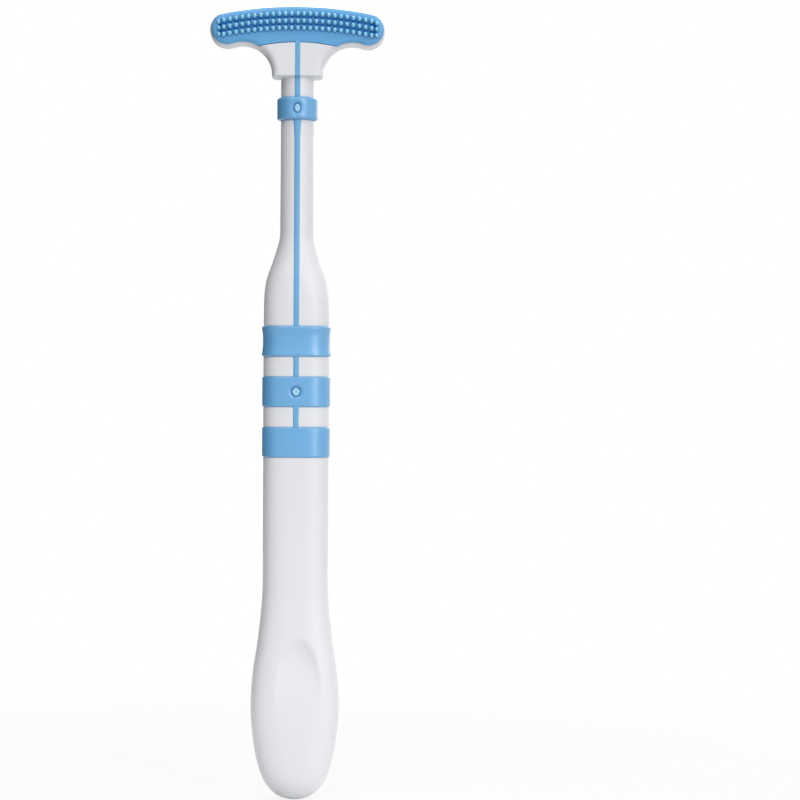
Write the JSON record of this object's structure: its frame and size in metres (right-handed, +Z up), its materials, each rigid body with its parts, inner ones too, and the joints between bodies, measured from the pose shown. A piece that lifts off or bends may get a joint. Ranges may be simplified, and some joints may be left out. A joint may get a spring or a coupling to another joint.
{
  "type": "tongue scraper",
  "caption": "Hand-held tongue scraper: a T head with a soft nub pad in front and two soft scraper ribs behind, on a slim neck and a grip handle with soft bands.",
  "frame": {"origin": "lowest point of the butt, on the long axis of the handle", "axes": "+Z up the handle to the head, -Y out of the nub face, +Y out of the scraper ribs, +X to the right as the nub face is seen"},
  "size_m": [0.0398, 0.0138, 0.18],
  "materials": {
    "rigid_white": "smooth glossy injection moulding",
    "soft_blue": "satin soft-touch elastomer"
  },
  "bodies": {
    "root": {"body_moulding": "rigid_white", "tongue_pad": "soft_blue", "nub_row_top": "soft_blue", "nub_row_middle": "soft_blue", "nub_row_bottom": "soft_blue", "stem_runner": "soft_blue", "neck_collar": "soft_blue", "neck_runner": "soft_blue", "upper_grip_band": "soft_blue", "upper_link": "soft_blue", "middle_grip_band": "soft_blue", "lower_link": "soft_blue", "lower_grip_band": "soft_blue", "long_scraper_rib": "soft_blue", "short_scraper_rib": "soft_blue", "rib_feed_posts": "soft_blue"}
  },
  "joints": []
}
